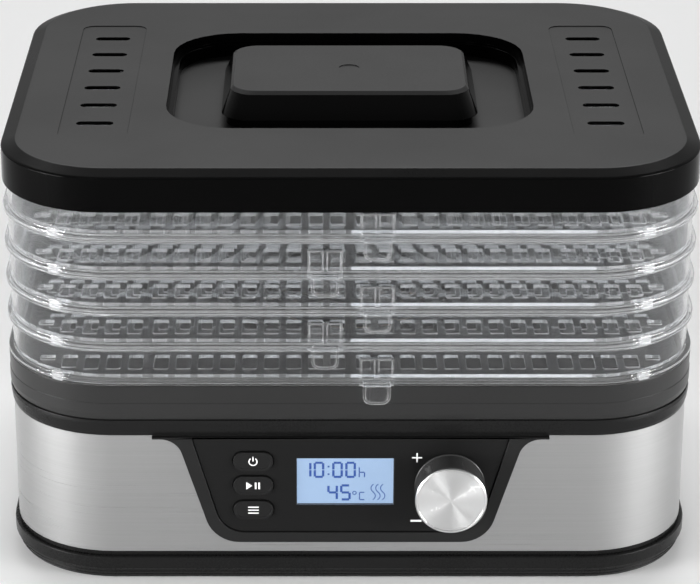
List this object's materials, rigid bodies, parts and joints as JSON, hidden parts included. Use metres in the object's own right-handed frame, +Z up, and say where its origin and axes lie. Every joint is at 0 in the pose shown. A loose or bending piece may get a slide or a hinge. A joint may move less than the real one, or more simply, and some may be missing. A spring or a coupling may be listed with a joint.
{
  "type": "food dehydrator",
  "caption": "Countertop food dehydrator with a lift-off lid, clear stacking trays, and a brushed steel fan-heater base with display, push buttons and a knob.",
  "frame": {"origin": "bottom centre of the whole object, on the plane of the feet", "axes": "+Z up, front with the control panel towards -Y, +X to the right seen from the front"},
  "size_m": [0.342, 0.296, 0.2231],
  "materials": {
    "lid_black": "semi-gloss black ABS with a fine satin top",
    "handle_black": "gloss black ABS",
    "tray_clear": "clear polycarbonate, smooth moulded",
    "shoulder_grey": "semi-gloss dark grey plastic",
    "trim_black": "gloss black plastic",
    "brushed_band": "brushed along the band",
    "plinth_black": "satin black plastic with fine ribs",
    "foot_rubber": "soft black rubber",
    "gland_rubber": "black rubber",
    "frame_charcoal": "satin charcoal plastic",
    "fascia_black": "satin black plastic",
    "display_clear": "clear display window",
    "display_blue": "lit pale blue display with dark digits",
    "button_black": "satin black plastic with white printed signs",
    "board_green": "green circuit board",
    "inner_plastic": "unfinished grey plastic",
    "switch_black": "black switch bodies",
    "encoder_metal": "plated steel",
    "screw_steel": "zinc-plated steel",
    "knob_black": "satin black plastic",
    "spun_aluminium": "spun face with a bright chamfer",
    "motor_steel": "plated steel can",
    "fan_plastic": "heat-resistant black plastic",
    "duct_steel": "plain sheet steel",
    "mica": "mica card",
    "heater_wire": "oxidised heating wire",
    "cutout_white": "ceramic-white thermal cut-out",
    "grille_black": "heat-resistant black plastic"
  },
  "bodies": {
    "base": {"upper_housing": "shoulder_grey", "lip_ring": "trim_black", "steel_wrap": "brushed_band", "bottom_pan": "plinth_black", "rubber_feet": "foot_rubber", "case_screws": "screw_steel", "cord_gland": "gland_rubber", "panel_frame": "frame_charcoal", "panel_fascia": "fascia_black", "display_window": "display_clear", "lcd_module": "display_blue", "control_board": "board_green", "board_carrier": "inner_plastic", "board_screws": "screw_steel", "tact_switches": "switch_black", "encoder_body": "encoder_metal", "motor_bridge": "inner_plastic", "fan_motor": "motor_steel", "fan_shroud": "duct_steel", "heater_frame": "mica", "heater_coil": "heater_wire", "thermal_cutout": "cutout_white", "air_grille": "grille_black", "power_board": "board_green"},
    "tray_5": {"tray_5": "tray_clear"},
    "tray_4": {"tray_4": "tray_clear"},
    "tray_3": {"tray_3": "tray_clear"},
    "tray_2": {"tray_2": "tray_clear"},
    "tray_1": {"tray_1": "tray_clear"},
    "lid": {"lid_shell": "lid_black", "lid_handle": "handle_black", "handle_screws": "screw_steel"},
    "knob": {"knob_cap": "spun_aluminium", "knob_body": "knob_black", "encoder_shaft": "encoder_metal"},
    "fan": {"fan_impeller": "fan_plastic", "motor_shaft": "motor_steel"},
    "button_power": {"button_power": "button_black"},
    "button_start": {"button_start": "button_black"},
    "button_set": {"button_set": "button_black"}
  },
  "joints": [
    {"name": "tray_5_lift", "type": "slide", "parent": "base", "child": "tray_5", "axis": [0, 0, 1], "range_m": [0, 0.04]},
    {"name": "tray_4_lift", "type": "slide", "parent": "tray_5", "child": "tray_4", "axis": [0, 0, 1], "range_m": [0, 0.04]},
    {"name": "tray_3_lift", "type": "slide", "parent": "tray_4", "child": "tray_3", "axis": [0, 0, 1], "range_m": [0, 0.04]},
    {"name": "tray_2_lift", "type": "slide", "parent": "tray_3", "child": "tray_2", "axis": [0, 0, 1], "range_m": [0, 0.04]},
    {"name": "tray_1_lift", "type": "slide", "parent": "tray_2", "child": "tray_1", "axis": [0, 0, 1], "range_m": [0, 0.04]},
    {"name": "lid_lift", "type": "slide", "parent": "tray_1", "child": "lid", "axis": [0, 0, 1], "range_m": [0, 0.06]},
    {"name": "knob_turn", "type": "hinge", "parent": "base", "child": "knob", "pos_m": [0.0487, -0.14, 0.0541], "axis": [0, 1, 0], "continuous": true},
    {"name": "fan_spin", "type": "hinge", "parent": "base", "child": "fan", "pos_m": [0, 0.00905, 0.061], "axis": [0, 0, 1], "continuous": true},
    {"name": "button_power_press", "type": "slide", "parent": "base", "child": "button_power", "axis": [0, 1, 0], "range_m": [0, 0.0008], "stiffness_N_per_m": 500},
    {"name": "button_start_press", "type": "slide", "parent": "base", "child": "button_start", "axis": [0, 1, 0], "range_m": [0, 0.0008], "stiffness_N_per_m": 500},
    {"name": "button_set_press", "type": "slide", "parent": "base", "child": "button_set", "axis": [0, 1, 0], "range_m": [0, 0.0008], "stiffness_N_per_m": 500}
  ]
}
